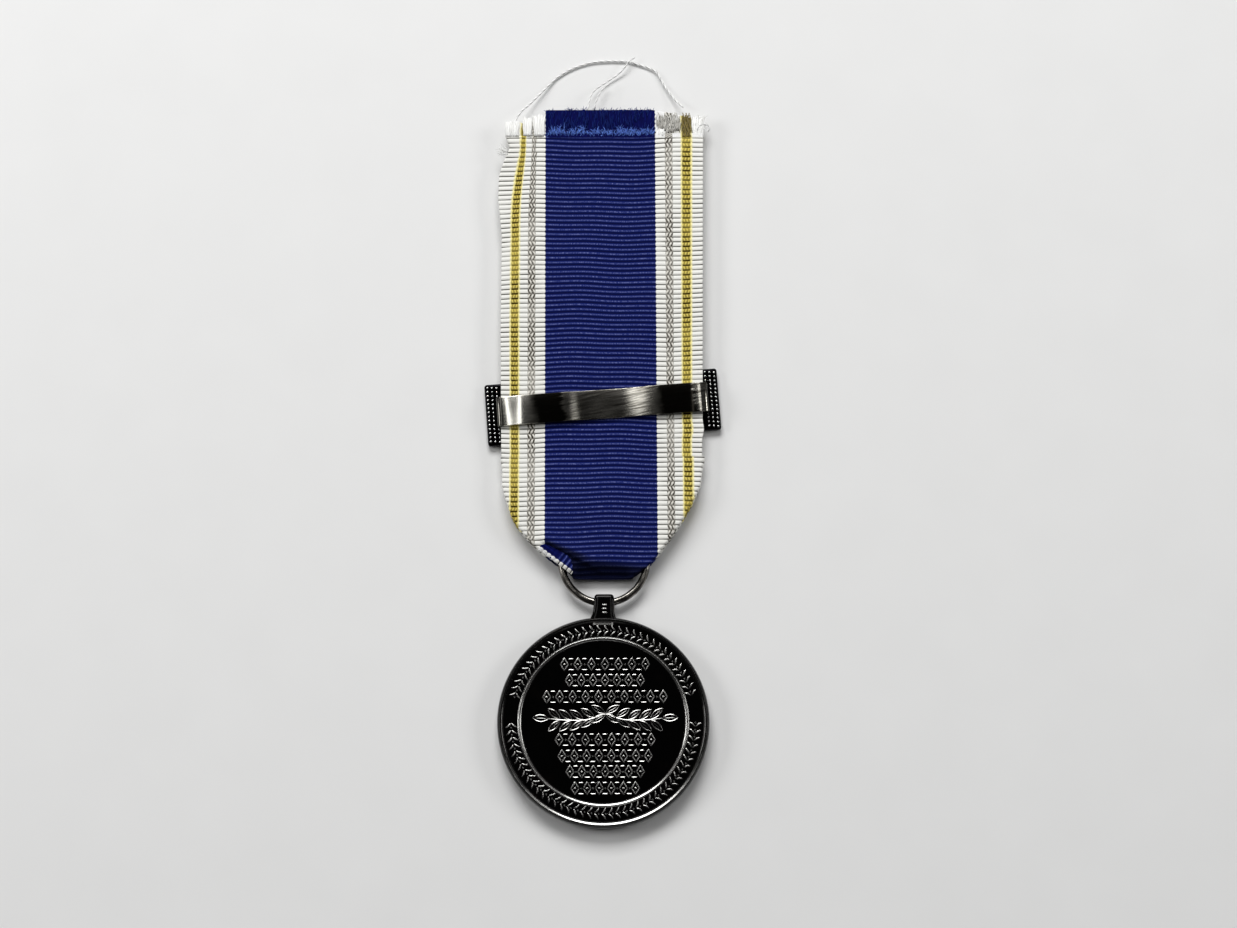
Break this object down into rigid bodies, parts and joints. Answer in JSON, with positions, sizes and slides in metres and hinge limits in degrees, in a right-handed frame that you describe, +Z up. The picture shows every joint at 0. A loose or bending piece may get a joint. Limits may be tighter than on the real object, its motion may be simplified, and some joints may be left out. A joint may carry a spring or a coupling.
{
  "type": "military service medal",
  "caption": "Round struck medal on a suspension ring and folded striped ribbon, with a clasp around the ribbon, lying reverse side up.",
  "frame": {"origin": "under the middle of the medal as it lies, on the surface it lies on, loose threads left out", "axes": "+X across the ribbon, +Y from the disc towards the ribbon's cut ends, +Z up out of the disc's reverse face"},
  "size_m": [0.0412, 0.138, 0.0033],
  "materials": {
    "dark_nickel": "struck brass, blackened and glossy",
    "ring_nickel": "plated wire, polished",
    "bar_nickel": "struck brass, dark plated",
    "strap_nickel": "plated, brushed lengthwise",
    "woven_ribbon": "ribbed woven ribbon, blue with white, gold and silver-grey stripes",
    "white_thread": "loose white yarn"
  },
  "bodies": {
    "ribbon": {"ribbon": "woven_ribbon", "thread_loop": "white_thread", "thread_tail_long": "white_thread", "thread_tail_short": "white_thread", "thread_edge_curl": "white_thread"},
    "ring": {"suspension_ring": "ring_nickel"},
    "disc": {"medal_disc": "dark_nickel"},
    "clasp": {"clasp_bar": "bar_nickel", "clasp_strap": "strap_nickel"}
  },
  "joints": [
    {"name": "ring_slide", "type": "slide", "parent": "ribbon", "child": "ring", "axis": [0, 1, 0], "range_m": [-0.0065, 0.001]},
    {"name": "disc_swing", "type": "hinge", "parent": "ring", "child": "disc", "pos_m": [0, -0.02525, 0.0015], "axis": [1, 0, 0], "range_deg": [-110, 110]},
    {"name": "clasp_slide", "type": "slide", "parent": "ribbon", "child": "clasp", "axis": [0, 1, 0], "range_m": [-0.004, 0.033]}
  ]
}
